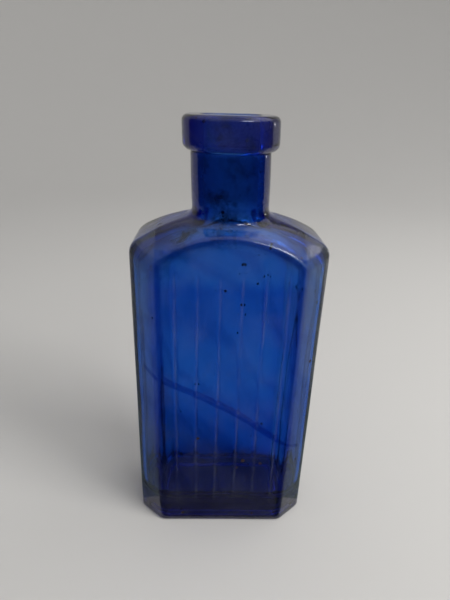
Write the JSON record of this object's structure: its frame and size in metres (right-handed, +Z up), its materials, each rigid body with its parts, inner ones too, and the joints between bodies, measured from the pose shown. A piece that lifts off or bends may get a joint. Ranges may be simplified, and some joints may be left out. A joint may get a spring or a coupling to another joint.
{
  "type": "glass bottle",
  "caption": "Antique cobalt-blue medicine bottle: flat body with bevelled corners, arched shoulder, ribbed front panel, round neck and a ring lip with an open mouth.",
  "frame": {"origin": "centre of the foot, on the surface that the bottle stands on", "axes": "+Z up through the neck, the ribbed front panel faces -Y, +X to the right as seen from the front"},
  "size_m": [0.0576, 0.0313, 0.134],
  "materials": {
    "cobalt_glass": "gloss, mould-blown, lightly worn"
  },
  "bodies": {
    "root": {"blown_body": "cobalt_glass", "applied_lip": "cobalt_glass"}
  },
  "joints": []
}
